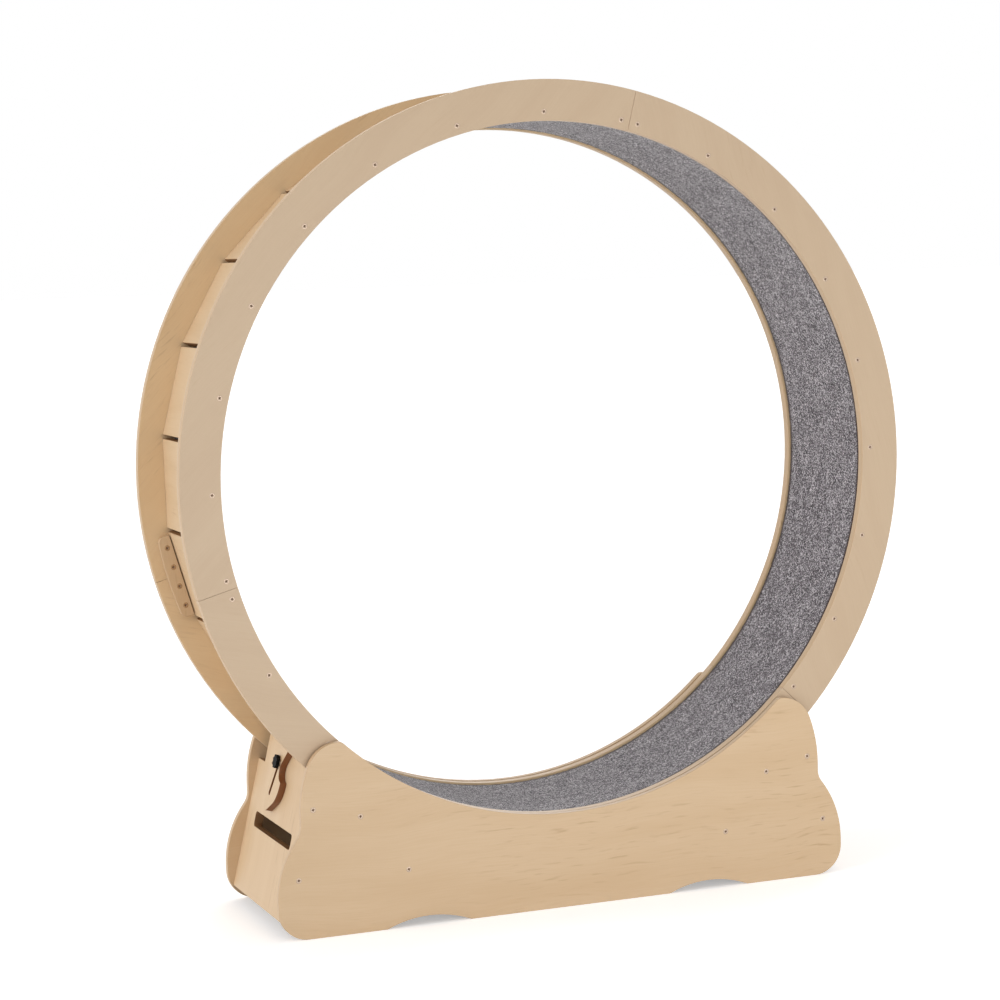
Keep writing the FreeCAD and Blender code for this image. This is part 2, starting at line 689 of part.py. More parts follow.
def roller_board(name, x_sign):
    """Board across the base, square to the line from its rollers to the wheel."""
    label = name + "_roller_board"
    body = new_body(label)
    back = board_face + size("board_ply")
    sketch = new_sketch(body, "XZ_Plane", label + "_outline")
    sketch.addGeometry(polygon([(board_face, board_bottom), (back, board_bottom),
                                (back, board_top), (board_face + size("board_chamfer"), board_top),
                                (board_face, board_edge)]), False)
    pad = feature(body, "Pad", label + "_board", sketch, Midplane=True)
    bind(pad, Length="2 * (%s)" % SIDE_FACE)
    body.Placement = board_placement(x_sign)
    parts.append(body)


def base_screws():
    """Screws through the side plates into the end panels and the roller boards."""
    heads = []
    for name, outward in SIDES:
        face = outward * (side_face + size("side_ply"))
        for x, z in side_screw_places():
            heads += [countersunk(x_sign * x, z, face, outward) for x_sign in (LEFT, RIGHT)]
    return group("base_screws", heads)


side_screws = base_screws()
parts.append(side_screws)
for side_name, side in SIDES:
    side_plate(side_name, side, side_screws)
for end_name, end in ENDS:
    end_panel(end_name, end)
    roller_board(end_name, end)


# ---------------------------------------------------------------- rollers

# stations along Y, counted outwards from the wheel's middle
cheek_out = side_face - size("bracket_gap")
roller_out = cheek_out - size("bracket_steel") - size("bracket_gap")
flange_out = track_half - size("flange_gap")
flange_in = flange_out - size("flange_width")
roller_in = flange_in
cheek_in = roller_in - size("bracket_gap") - size("bracket_steel")


def revolved(label, outlines, placement):
    """Body turned about its own Y axis from outlines of (radius, y)."""
    body = new_body(label)
    sketch = new_sketch(body, "XY_Plane", label + "_profile")
    for outline in outlines:
        sketch.addGeometry(polygon(outline), False)
    feature(body, "Revolution", label + "_turned", sketch,
            ReferenceAxis=(sketch, ["V_Axis"]), Angle=360)
    body.Placement = placement
    return body


def pin_placement(x_sign):
    """Frame on a roller pin's axis, with the board's directions."""
    return board_placement(x_sign) * Placement(Vector(pin_reach, 0, -size("roller_drop")),
                                               Rotation())


def outwards(points, outward):
    """Stations of a profile turned to the front or the rear."""
    return [(radius, outward * y) for radius, y in points]


def local_side(x_sign, outward):
    """Side of a part in the frame of its board, which the half turn reverses on the left."""
    return outward if x_sign == RIGHT else -outward


def roller(name, x_sign, outward):
    """Moulded roller: tread under the ring, flange inside it, a bearing pressed in each end."""
    tread, rim = size("roller_radius"), size("roller_radius") + size("roller_flange")
    seat, depth = size("bearing_radius"), size("bearing_width")
    profile = [(seat, roller_in), (rim, roller_in),
               (rim, flange_out - size("flange_slope")), (tread, flange_out),
               (tread, roller_out), (seat, roller_out)]
    side_sign = local_side(x_sign, outward)
    parts.append(revolved("roller_" + name, [outwards(profile, side_sign)],
                          pin_placement(x_sign)))
    bore = size("pin_radius") + size("pin_clearance")
    rings = [[(bore, start), (seat, start), (seat, start + depth), (bore, start + depth)]
             for start in (roller_in, roller_out - depth)]
    parts.append(revolved("roller_bearing_" + name,
                          [outwards(ring, side_sign) for ring in rings],
                          pin_placement(x_sign)))


def cheek_outline():
    """Bracket's cheek: wide at the board, round about the pin."""
    foot_x, half = size("pin_height"), size("cheek_width") / 2
    turn = size("cheek_round")
    reach = math.hypot(foot_x, half)
    spread = math.degrees(math.atan2(half, foot_x) + math.acos(turn / reach))
    upper, lower = on_circle((0, 0), turn, spread), on_circle((0, 0), turn, -spread)
    return [line((foot_x, -half), (foot_x, half)), line((foot_x, half), upper),
            arc((0, 0), turn, upper, lower), line(lower, (foot_x, -half))]


def roller_bracket(name, x_sign, outward):
    """Pressed bracket: a base on the board and two cheeks that hold the pin."""
    label = "roller_bracket_" + name
    body = new_body(label)
    side_sign = local_side(x_sign, outward)
    steel, foot = size("bracket_steel"), size("pin_height")
    base_in = cheek_in - size("bracket_tab")
    half = size("bracket_width") / 2
    ends = sorted((side_sign * base_in, side_sign * cheek_out))
    base = new_sketch(body, "YZ_Plane", label + "_base_outline", Vector(0, 0, foot - steel))
    base.addGeometry(polygon([(ends[0], -half), (ends[1], -half), (ends[1], half),
                              (ends[0], half)]), False)
    plate = feature(body, "Pad", label + "_base", base)
    bind(plate, Length="Sizes.bracket_steel")
    for index, start in enumerate((cheek_in, cheek_out - steel), start=1):
        cheek = new_sketch(body, "XZ_Plane", "%s_cheek_%d_outline" % (label, index),
                           Vector(0, 0, -side_sign * start))
        cheek.addGeometry(cheek_outline(), False)
        wall = feature(body, "Pad", "%s_cheek_%d" % (label, index), cheek,
                       Reversed=side_sign > 0)
        bind(wall, Length="Sizes.bracket_steel")
    doc.recompute()
    whole = body.Shape.Volume
    hole = new_sketch(body, "XZ_Plane", label + "_hole_outline",
                      Vector(0, 0, -side_sign * (cheek_in + cheek_out) / 2))
    bound_circle(hole, "Sizes.pin_radius + Sizes.pin_clearance")
    bore = feature(body, "Pocket", label + "_hole", hole, Midplane=True)
    bore.Length = 2 * (cheek_out - cheek_in)
    doc.recompute()
    expect_cut(body, whole, 2 * steel * math.pi
               * (size("pin_radius") + size("pin_clearance")) ** 2)
    body.Placement = pin_placement(x_sign)
    parts.append(body)


def pan_head(seat):
    """Eight-sided pan head on a bracket's base, domed along -X from its seat."""
    outlines = []
    for radius, rise in ((size("screw_head"), 0), (size("pan_crown"), size("pan_rise"))):
        points = [on_circle((seat.y, seat.z), radius, step * 45) for step in range(9)]
        outlines.append(Part.makePolygon([Vector(seat.x - rise, y, z) for y, z in points]))
    return Part.makeLoft(outlines, True, True)


def pins_and_bracket_screws():
    """A headed pin through each roller, and two pan-head screws through each bracket."""
    pins, heads = [], []
    radius, head = size("pin_radius"), size("bracket_steel")
    for end_name, x_sign in ENDS:
        frame = pin_placement(x_sign).Matrix
        for side_name, outward in SIDES:
            side_sign = local_side(x_sign, outward)
            along = Vector(0, side_sign, 0)
            shank = Part.makeCylinder(radius, cheek_out - cheek_in, along * cheek_in, along)
            cap = Part.makeCylinder(size("pin_head"), head, along * (cheek_in - head), along)
            pins.append(shank.fuse(cap).removeSplitter().transformed(frame))
            for z_sign in (-1, 1):
                seat = Vector(size("pin_height") - size("bracket_steel"),
                              side_sign * (cheek_in - size("bracket_tab") / 2),
                              z_sign * size("bracket_screw_pitch") / 2)
                heads.append(pan_head(seat).transformed(frame))
    parts.append(group("roller_pins", pins))
    parts.append(group("bracket_screws", heads))


for side_name, side in SIDES:
    for end_name, end in ENDS:
        corner_name = side_name + "_" + end_name
        roller(corner_name, end, side)
        roller_bracket(corner_name, end, side)
pins_and_bracket_screws()


# ---------------------------------------------------------------- wheel lock

# the lock's frame: origin where the knob's axis meets the left panel's outer face, local X
# into the panel, local Z up the slope
lock_frame = panel_placement(LEFT) * Placement(Vector(0, 0, knob_level), Rotation())
lever_outer = -size("lock_gap") - size("lever_ply")
washer_inner = lever_outer - size("lock_gap")
washer_outer = washer_inner - size("washer_steel")
knob_inner = washer_outer - size("lock_gap")


def lever_half(sign):
    """One long side of the lever, as pieces of outline from the tail down to the nose."""
    tail = (size("tail_width") / 2, size("tail_height"))
    gill = (size("gill_width") / 2, -size("gill_level"))
    step = (gill[0] + size("gill_step"), gill[1])
    # the neck's hollow goes through the end of the gill with its middle at the neck's level
    neck_x, drop = size("neck_width") / 2, size("gill_level") - size("neck_level")
    neck_radius = (drop ** 2 + (gill[0] - neck_x) ** 2) / (2 * (gill[0] - neck_x))
    neck_hub = (neck_x + neck_radius, -size("neck_level"))
    to_tail = math.hypot(tail[0] - neck_hub[0], tail[1] - neck_hub[1])
    bearing = math.atan2(tail[1] - neck_hub[1], tail[0] - neck_hub[0])
    neck_top = on_circle(neck_hub, neck_radius,
                         math.degrees(bearing + math.acos(neck_radius / to_tail)))
    # belly and nose, joined by their common tangent
    belly, nose = size("belly_radius"), size("nose_radius")
    belly_hub = (size("belly_width") / 2 - belly, -size("belly_level"))
    nose_hub = (0, nose - size("nose_level"))
    belly_start = (belly_hub[0] + math.sqrt(belly ** 2 - (step[1] - belly_hub[1]) ** 2), step[1])
    dx, dz = nose_hub[0] - belly_hub[0], nose_hub[1] - belly_hub[1]
    apart = math.hypot(dx, dz)
    tangent = math.degrees(math.atan2(dz, dx) + math.acos((belly - nose) / apart))
    belly_end, nose_start = (on_circle(belly_hub, belly, tangent),
                             on_circle(nose_hub, nose, tangent))
    tip = (0, -size("nose_level"))

    def here(point):
        return (sign * point[0], point[1])

    def bend(hub, radius, start, end):
        """Arc that runs clockwise on the right side, and mirrored on the left."""
        first, last = (end, start) if sign > 0 else (start, end)
        return arc(here(hub), radius, here(first), here(last))

    return [line(here((0, tail[1] - size("tail_notch"))), here(tail)),
            line(here(tail), here(neck_top)),
            bend(neck_hub, neck_radius, gill, neck_top),
            line(here(gill), here(belly_start)),
            bend(belly_hub, belly, belly_start, belly_end),
            line(here(belly_end), here(nose_start)),
            bend(nose_hub, nose, nose_start, tip)]


def lock_lever():
    """Fish-shaped lever of plywood with a long slot for the knob's stud."""
    body = new_body("lock_lever")
    sketch = new_sketch(body, "YZ_Plane", "lever_outline", Vector(0, 0, -size("lock_gap")))
    sketch.addGeometry(lever_half(1) + lever_half(-1), False)
    pad = feature(body, "Pad", "lever_board", sketch, Reversed=True)
    bind(pad, Length="Sizes.lever_ply")
    doc.recompute()
    whole = pad.Shape.Volume
    w, travel = size("lever_slot") / 2, size("lever_travel")
    slot = new_sketch(body, "YZ_Plane", "lever_slot_outline", Vector(0, 0, -size("lock_gap")))
    slot.addGeometry([arc((0, 0), w, (w, 0), (-w, 0)), line((-w, 0), (-w, -travel)),
                      arc((0, -travel), w, (-w, -travel), (w, -travel)),
                      line((w, -travel), (w, 0))], False)
    cut = feature(body, "Pocket", "lever_slot", slot)
    bind(cut, Length="Sizes.lever_ply")
    doc.recompute()
    expect_cut(body, whole, (2 * w * travel + math.pi * w ** 2) * size("lever_ply"))
    turned = Placement(Vector(), Rotation(Vector(1, 0, 0), size("lever_turn")))
    body.Placement = lock_frame * turned
    parts.append(body)


def lock_knob():
    """Thumb knob with hollows round its rim and a stud into the insert."""
    body = new_body("lock_knob")
    head = new_sketch(body, "YZ_Plane", "knob_outline", Vector(0, 0, knob_inner))
    bound_circle(head, "Sizes.knob_radius")
    pad = feature(body, "Pad", "knob_head", head, Reversed=True)
    bind(pad, Length="Sizes.knob_height")
    hollow = new_sketch(body, "YZ_Plane", "knob_hollow_outline",
                        Vector(size("hollow_circle"), 0, knob_inner))
    hollow.addGeometry(circle((0, 0), size("hollow_radius")), False)
    cut = feature(body, "Pocket", "knob_hollow", hollow)
    bind(cut, Length="Sizes.knob_height")
    polar_pattern(body, "knob_hollows", cut, "X_Axis", round(size("knob_lobes")))
    doc.recompute()
    if body.Shape.Volume > 0.95 * pad.Shape.Volume:
        raise RuntimeError("lock_knob: the hollows are missing")
    stem = new_sketch(body, "YZ_Plane", "knob_stud_outline", Vector(0, 0, knob_inner))
    bound_circle(stem, "Sizes.stud_radius")
    stud = feature(body, "Pad", "knob_stud", stem)
    stud.Length = size("end_ply") - size("stud_end_gap") - knob_inner
    body.Placement = lock_frame
    parts.append(body)


def lock_ring(label, outer, bore, start, length):
    """Round piece about the knob's axis with a bore: the washer or the insert."""
    body = new_body(label)
    sketch = new_sketch(body, "YZ_Plane", label + "_outline", Vector(0, 0, start))
    bound_circle(sketch, outer)
    bound_circle(sketch, bore)
    pad = feature(body, "Pad", label + "_ring", sketch)
    bind(pad, Length=length)
    body.Placement = lock_frame
    parts.append(body)


lock_lever()
lock_knob()
lock_ring("lock_washer", "Sizes.washer_radius", "Sizes.stud_radius + Sizes.lock_gap",
          washer_outer, "Sizes.washer_steel")
lock_ring("lock_insert", "Sizes.insert_radius", "Sizes.stud_radius + Sizes.stud_clearance",
          0, "Sizes.end_ply")


# ---------------------------------------------------------------- checks and files

doc.recompute()
for item in doc.Objects:
    if "Invalid" in item.State or "Error" in item.State:
        raise RuntimeError(item.Label + " could not be built")
for part in parts:
    if part.Shape.isNull() or not part.Shape.isValid():
        raise RuntimeError(part.Label + " has no valid shape")
os.makedirs("parts", exist_ok=True)
for part in parts:
    part.Shape.exportStep("parts/%s.step" % part.Label)
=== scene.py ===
"""Looks of a cat exercise wheel of birch plywood, one metre across.

Metres, +Z up, the wheel's axis along Y, the front towards -Y and the left towards -X. Boards,
rollers, brackets and lock are the CAD nodes with softened edges and their own materials. The
carpet runner and the heads of the countersunk screws are made here and stand for their nodes.
"""
import json
import math

import bmesh
import bpy
import numpy as np
from bpy.props import FloatProperty, FloatVectorProperty, IntProperty, PointerProperty
from mathutils import Matrix, Vector


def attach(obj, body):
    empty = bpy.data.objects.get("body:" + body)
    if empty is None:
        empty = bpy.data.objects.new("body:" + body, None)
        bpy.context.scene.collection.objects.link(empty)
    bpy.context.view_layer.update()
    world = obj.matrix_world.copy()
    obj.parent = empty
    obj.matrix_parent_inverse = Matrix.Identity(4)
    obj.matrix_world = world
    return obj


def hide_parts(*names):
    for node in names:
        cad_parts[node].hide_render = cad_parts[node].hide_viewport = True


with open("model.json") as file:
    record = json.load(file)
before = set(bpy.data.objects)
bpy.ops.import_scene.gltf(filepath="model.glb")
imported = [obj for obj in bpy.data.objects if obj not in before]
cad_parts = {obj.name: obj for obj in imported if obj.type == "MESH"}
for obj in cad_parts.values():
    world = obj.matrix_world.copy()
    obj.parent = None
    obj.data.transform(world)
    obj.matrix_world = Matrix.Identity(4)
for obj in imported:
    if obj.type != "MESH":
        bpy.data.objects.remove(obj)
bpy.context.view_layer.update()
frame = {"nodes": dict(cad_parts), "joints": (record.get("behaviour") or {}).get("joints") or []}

bl_info = {
    "name": "Cat exercise wheel",
    "version": (1, 0, 0),
    "blender": (4, 5, 0),
    "location": "View3D > Sidebar > Cat wheel",
    "description": "Finishes a plywood cat exercise wheel: boards, carpet, screws, rollers, lock and stage",
    "category": "Object",
}


# ---------------------------------------------------------------- places from the frame

def joint(name):
    return next(item for item in frame["joints"] if item["name"] == name)


def corners_of(node):
    """Vertices of a CAD node as an array of points."""
    mesh = frame["nodes"][node].data
    points = np.empty(len(mesh.vertices) * 3)
    mesh.vertices.foreach_get("co", points)
    return points.reshape(-1, 3)


def nodes_like(start):
    return sorted(name for name in frame["nodes"] if name.startswith(start))


WHEEL_CENTRE = Vector(joint("wheel_spin")["pos_m"])
PANEL_OUT = Vector(joint("lock_swing")["axis"])
LEVER_UP = Vector(joint("lock_slide")["axis"])
PANEL_UP = Vector((-PANEL_OUT.x * PANEL_OUT.z, 0, PANEL_OUT.x ** 2)).normalized()
ACROSS = Vector((0, 1, 0))
# slope of the roller boards
BOARD_LEAN = math.radians(39.6)
# degrees from +X, about the wheel's centre, to the middle of each ring section
SECTION_MIDDLES = {1: 135.6, 2: 255.6, 3: 15.6}
# from the wheel's centre line to the middle of a slat's cut edge, and the slat's thickness
SLAT_REACH = 0.4628
SLAT_PLY = 0.012


# ---------------------------------------------------------------- sizes and colours

def colour(code):
    """An sRGB hex colour as linear red, green, blue and alpha."""
    values = [int(code[i:i + 2], 16) / 255 for i in (1, 3, 5)]
    return [v / 12.92 if v <= 0.04045 else ((v + 0.055) / 1.055) ** 2.4 for v in values] + [1.0]


def length(name, description, millimetres):
    return FloatProperty(name=name, description=description, default=millimetres / 1000,
                         unit="LENGTH", subtype="DISTANCE", min=0)


def paint(name, description, code):
    return FloatVectorProperty(name=name, description=description, default=colour(code),
                               subtype="COLOR", size=4, min=0, max=1)


class CatWheelWood(bpy.types.PropertyGroup):
    """Plywood boards."""
    edge_round: length("Edge", "Rounding of the sanded board edges", 0.5)
    seam_round: length("Seam", "Rounding of the ring sections' edges", 0.12)
    slat_round: length("Slat edge", "Rounding of the slats' edges", 0.9)
    face: paint("Face", "Rotary-cut birch veneer under clear oil", "#d5b996")
    figure: paint("Figure", "Darker bands of that veneer", "#c9a981")
    # painted shade: the front ring is a darker, greyer copy of the birch veneer, standing for the dimmer
    # light on that ring
    ring_face: paint("Ring face", "Greyer, pinkish veneer of the front ring", "#c8b093")
    ring_figure: paint("Ring figure", "Darker bands of the ring's veneer", "#bb9f82")
    # painted light: the rear ring is a lighter, yellower copy of the birch veneer, standing for the warm
    # light bounced onto its inner face
    rear_face: paint("Rear ring face", "Yellower veneer of the rear ring", "#e6caa2")
    rear_figure: paint("Rear figure", "Darker bands of that veneer", "#dbba8f")
    # painted shade: the boards inside the base get a dark brown copy of the birch veneer, standing for the
    # shade inside the closed base
    inner_face: paint("Inner boards", "Boards inside the base, stained dark", "#2f1b10")
    inner_figure: paint("Inner figure", "Darker bands of those boards", "#22120a")
    fleck: paint("Flecks", "Short dark ripples along the grain", "#a8845c")
    long_ply: paint("Long plies", "Plies cut along their grain", "#d2b694")
    end_ply: paint("End plies", "Plies cut across their grain", "#b4936f")
    # painted shade: dark brown for the cut edges of the slats and end panels, standing for the shadow in
    # the gaps at the rings and in the handle slots
    browned: paint("Browned edge", "Edges that the cutter has browned", "#8c6540")
    # dark brown colour of the lever's cut edges
    dark_lever_edge: paint("Burnt edge", "Laser-cut edge of the lever", "#7d4c28")


class CatWheelCarpet(bpy.types.PropertyGroup):
    """Carpet runner."""
    tuft: length("Tuft", "Spacing of its high spots, coarser than the loops", 3.0)
    relief: length("Relief", "Height of the pile's unevenness", 0.6)
    edge_round: length("Edge", "Rounding of the pile at the cut sides", 3.5)
    dark: paint("Dark fibre", "Charcoal fibre", "#1c181a")
    middle: paint("Middle fibre", "Plum-grey fibre", "#71686e")
    light: paint("Light fibre", "Pale grey fibre", "#dcd7da")
    # painted shade: dark brown along the carpet's cut sides, standing for the shade in the groove between
    # carpet and rings
    backing: paint("Backing", "Dark latex backing that shows at the cut sides", "#40291f")


class CatWheelMetal(bpy.types.PropertyGroup):
    """Screws and other small fittings."""
    head_radius: length("Head", "Radius of a countersunk head", 3.8)
    recess_reach: length("Recess", "Reach of the cross recess", 1.7)
    spokes: IntProperty(name="Spokes", description="Faces round a screw head", default=24, min=8)
    zinc: paint("Zinc", "Zinc plating", "#bda996")
    # painted shade and painted reflection: the joint plates' screws get a darker, browner copy of the zinc,
    # for the shade among the wood and the wood reflected in them
    shade_tinted_zinc: paint("Yellow zinc", "Yellow passivated zinc of the joint plates' screws",
                       "#b39473")
    # painted shade: the driver recess is coloured darker than the zinc for the shade inside it
    recess: paint("Recess", "Shaded driver recess with a trace of oil", "#86705e")
    steel: paint("Steel", "Ground steel", "#b9babb")
    nylon: paint("Nylon", "Moulded nylon of the rollers", "#e3e0d6")
    knob: paint("Knob", "Moulded plastic of the thumb knob", "#090808")


class CatWheelStage(bpy.types.PropertyGroup):
    """Camera, lamps and floor."""
    lens: FloatProperty(name="Lens", description="Focal length in mm on a 36 mm sensor",
                        default=93.30, min=1)
    sky: FloatProperty(name="Sky", description="Strength of the even light", default=0.56, min=0)
    sun: FloatProperty(name="Key", description="Strength of the soft key from the left",
                       default=1.35, min=0)
    back: FloatProperty(name="Back", description="Strength of the soft light from behind",
                        default=0.9, min=0)
    fill: FloatProperty(name="Fill", description="Watts of the low panel light in front",
                        default=13.5, min=0)
    floor: paint("Floor", "White studio floor", "#f6f6f6")
    glow: FloatProperty(name="Floor glow", description="Light that lifts the seen floor to white",
                        default=0.36, min=0)


# ---------------------------------------------------------------- meshes

def finish_piece(mesh, name, body, material, replaced=()):
    """Make an object of a mesh, let it ride on its body and give it its finish."""
    piece = bpy.data.objects.new(name, mesh)
    bpy.context.scene.collection.objects.link(piece)
    piece.data.materials.append(material)
    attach(piece, body)
    if replaced:
        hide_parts(*replaced)
    return piece


def surface(name, points, around, across, uv=None):
    """Mesh of quads over grids of points.

    points has the axes (grid, row, column, xyz). Each quad joins two rows and two columns.
    around closes the rows into a ring and across closes the columns. uv gives each grid a pair
    of arrays of row and column coordinates, one longer than the points where the grid closes.
    """
    grids, rows, columns = points.shape[:3]
    row = np.arange(rows if around else rows - 1)
    column = np.arange(columns if across else columns - 1)
    row, column = np.meshgrid(row, column, indexing="ij")
    next_row, next_column = (row + 1) % rows, (column + 1) % columns
    quads = np.stack([row * columns + column, next_row * columns + column,
                      next_row * columns + next_column, row * columns + next_column], axis=-1)
    starts = np.arange(grids) * rows * columns
    loops = (starts[:, None] + quads.reshape(1, -1)).ravel()
    mesh = bpy.data.meshes.new(name)
    mesh.vertices.add(points.size // 3)
    mesh.vertices.foreach_set("co", points.astype(np.float32).ravel())
    mesh.loops.add(len(loops))
    mesh.loops.foreach_set("vertex_index", loops.astype(np.int32))
    mesh.polygons.add(len(loops) // 4)
    mesh.polygons.foreach_set("loop_start", np.arange(0, len(loops), 4, dtype=np.int32))
    mesh.polygons.foreach_set("use_smooth", np.ones(len(loops) // 4, dtype=bool))
    if uv is not None:
        along, over = uv
        quad_uv = np.stack([along[row], over[column], along[row + 1], over[column],
                            along[row + 1], over[column + 1], along[row], over[column + 1]],
                           axis=-1)
        layer = mesh.uv_layers.new(name="Metres")
        layer.data.foreach_set("uv", np.tile(quad_uv.ravel(), grids).astype(np.float32))
    mesh.update(calc_edges=True)
    mesh.validate()
    return mesh


def weld(mesh, distance=1e-6):
    """Close the poles of a surface, whose points coincide."""
    work = bmesh.new()
    work.from_mesh(mesh)
    bmesh.ops.remove_doubles(work, verts=work.verts, dist=distance)
    bmesh.ops.recalc_face_normals(work, faces=work.faces)
    work.to_mesh(mesh)
    work.free()


def soften(node, width, segments=2):
    """Round the sharp edges of a CAD node by modifiers; its own mesh stays as it is."""
    piece = frame["nodes"][node]
    welded = piece.modifiers.new("Weld", "WELD")
    welded.merge_threshold = 1e-5
    flat = piece.modifiers.new("Flat faces", "DECIMATE")
    flat.decimate_type = "DISSOLVE"
    flat.angle_limit = math.radians(1)
    bevel = piece.modifiers.new("Edges", "BEVEL")
    bevel.width = width
    bevel.segments = segments
    bevel.limit_method = "ANGLE"
    bevel.angle_limit = math.radians(30)
    bevel.harden_normals = True


def dress(node, material):
    """Put a material into a CAD node's slots."""
    piece = frame["nodes"][node]
    for place in piece.material_slots:
        place.material = material


# ---------------------------------------------------------------- shader helpers

MIX_A, MIX_B, MIX_OUT = 6, 7, 2


def add(tree, kind, sockets=None, out=0, **settings):
    """Add a shader node with its settings, values and links, and return one of its outputs."""
    node = tree.nodes.new(kind)
    for name, value in settings.items():
        setattr(node, name, value)
    for name, value in (sockets or {}).items():
        if isinstance(value, bpy.types.NodeSocket):
            tree.links.new(value, node.inputs[name])
        else:
            node.inputs[name].default_value = value
    return node.outputs[out]


def new_material(name, **values):
    """A material with one principled shader, and values for its sockets."""
    material = bpy.data.materials.new(name)
    material.use_nodes = True
    tree = material.node_tree
    shader = tree.nodes["Principled BSDF"]
    for socket, value in values.items():
        shader.inputs[socket.replace("_", " ")].default_value = value
    return material, tree, shader


def blend_colours(tree, factor, first, second, mode="MIX"):
    return add(tree, "ShaderNodeMix", {0: factor, MIX_A: first, MIX_B: second}, out=MIX_OUT,
               data_type="RGBA", blend_type=mode)


def between(tree, value, low, high, to_low=0.0, to_high=1.0):
    """Smooth step of a value between two bounds."""
    return add(tree, "ShaderNodeMapRange", {"Value": value, "From Min": low, "From Max": high,
                                            "To Min": to_low, "To Max": to_high},
               interpolation_type="SMOOTHSTEP")


def maths(tree, operation, first, second=0.0):
    return add(tree, "ShaderNodeMath", {0: first, 1: second}, operation=operation)


# ---------------------------------------------------------------- plywood

def board_space(tree, along, through, centre):
    """Object coordinates and normal in a board's own frame: along, across, through."""
    across = through.cross(along)
    turn = Matrix((along, across, through)).to_euler()
    shift = -(Matrix((along, across, through)) @ centre)
    source = tree.nodes.new("ShaderNodeTexCoord")
    place = add(tree, "ShaderNodeMapping", {"Vector": source.outputs["Object"],
                                            "Rotation": turn, "Location": shift})
    normal = add(tree, "ShaderNodeMapping", {"Vector": source.outputs["Normal"],
                                             "Rotation": turn}, vector_type="VECTOR")
    return place, normal


def birch_faces(tree, place, wood, veneer):
    """Colour of birch veneer: soft bands, fine fibres and short ripples, all along local X."""
    face, figure = getattr(wood, veneer), getattr(wood, veneer.replace("face", "figure"))
    calm = veneer == "ring_face"
    rippled, banded, fibrous = (0.15, 0.25, 0.15) if calm else (0.5, 0.40, 0.25)
    drift = add(tree, "ShaderNodeTexNoise", {"Vector": place, "Scale": 7.0, "Detail": 1.0},
                out="Color")
    bent = add(tree, "ShaderNodeVectorMath", {0: drift, 1: (0.0, 0.03, 0.0)},
               operation="MULTIPLY")
    place = add(tree, "ShaderNodeVectorMath", {0: place, 1: bent}, operation="ADD")

    def noise(cycles, detail, rough=0.5):
        """Noise with that many cycles to a metre along, across and through the board."""
        scaled = add(tree, "ShaderNodeMapping", {"Vector": place, "Scale": cycles})
        return add(tree, "ShaderNodeTexNoise", {"Vector": scaled, "Scale": 1.0,
                                                "Detail": detail, "Roughness": rough})

    bands = between(tree, noise((3, 28, 28), 3.0), 0.35, 0.7)
    fibres = between(tree, noise((18, 700, 700), 2.0), 0.3, 0.75)
    # a ripple and the gap after it take 36 mm along the grain and 4 mm across it
    ripples = between(tree, noise((28, 270, 270), 2.0), 0.56, 0.80)
    patches = between(tree, noise((4, 6, 6), 1.0), 0.38, 0.68)
    ripples = maths(tree, "MULTIPLY", ripples, patches)
    tone = blend_colours(tree, maths(tree, "MULTIPLY", bands, banded), face, figure)
    tone = blend_colours(tree, maths(tree, "MULTIPLY", fibres, fibrous), tone, figure)
    tone = blend_colours(tree, maths(tree, "MULTIPLY", ripples, rippled), tone, wood.fleck)
    return tone, fibres


def ply_edges(tree, depth, thickness, plies, light, dark):
    """Colour of a cut edge: plies by turns light and dark, with thin glue lines."""
    count = maths(tree, "MULTIPLY", depth, plies * math.pi / thickness)
    wave = maths(tree, "COSINE" if plies % 2 else "SINE", count)
    tone = blend_colours(tree, between(tree, wave, -0.2, 0.2, 0.45, 1.0), dark, light)
    glue = between(tree, maths(tree, "ABSOLUTE", wave), 0.0, 0.25, 0.6, 0.0)
    return blend_colours(tree, glue, tone, dark)


def plywood(name, node, along, through, plies, wood, veneer="face", edge=None):
    """Birch plywood, sanded and oiled: satin veneer faces, and edges that show their plies."""
    depth = corners_of(node) @ np.array(through)
    thickness = float(depth.max() - depth.min())
    centre = through * float(depth.max() + depth.min()) / 2
    material, tree, shader = new_material(name, Roughness=0.48)
    place, normal = board_space(tree, along, through, centre)
    faces, fibres = birch_faces(tree, place, wood, veneer)
    local = add(tree, "ShaderNodeSeparateXYZ", {0: place}, out="Z")
    light, dark = (wood.long_ply, wood.end_ply) if edge is None else (edge, edge)
    edges = ply_edges(tree, local, thickness, plies, light, dark)
    facing = maths(tree, "ABSOLUTE", add(tree, "ShaderNodeSeparateXYZ", {0: normal}, out="Z"))
    tone = blend_colours(tree, between(tree, facing, 0.75, 0.95), edges, faces)
    tree.links.new(tone, shader.inputs["Base Color"])
    bump = add(tree, "ShaderNodeBump", {"Height": fibres, "Strength": 0.15, "Distance": 0.0002})
    tree.links.new(bump, shader.inputs["Normal"])
    return material


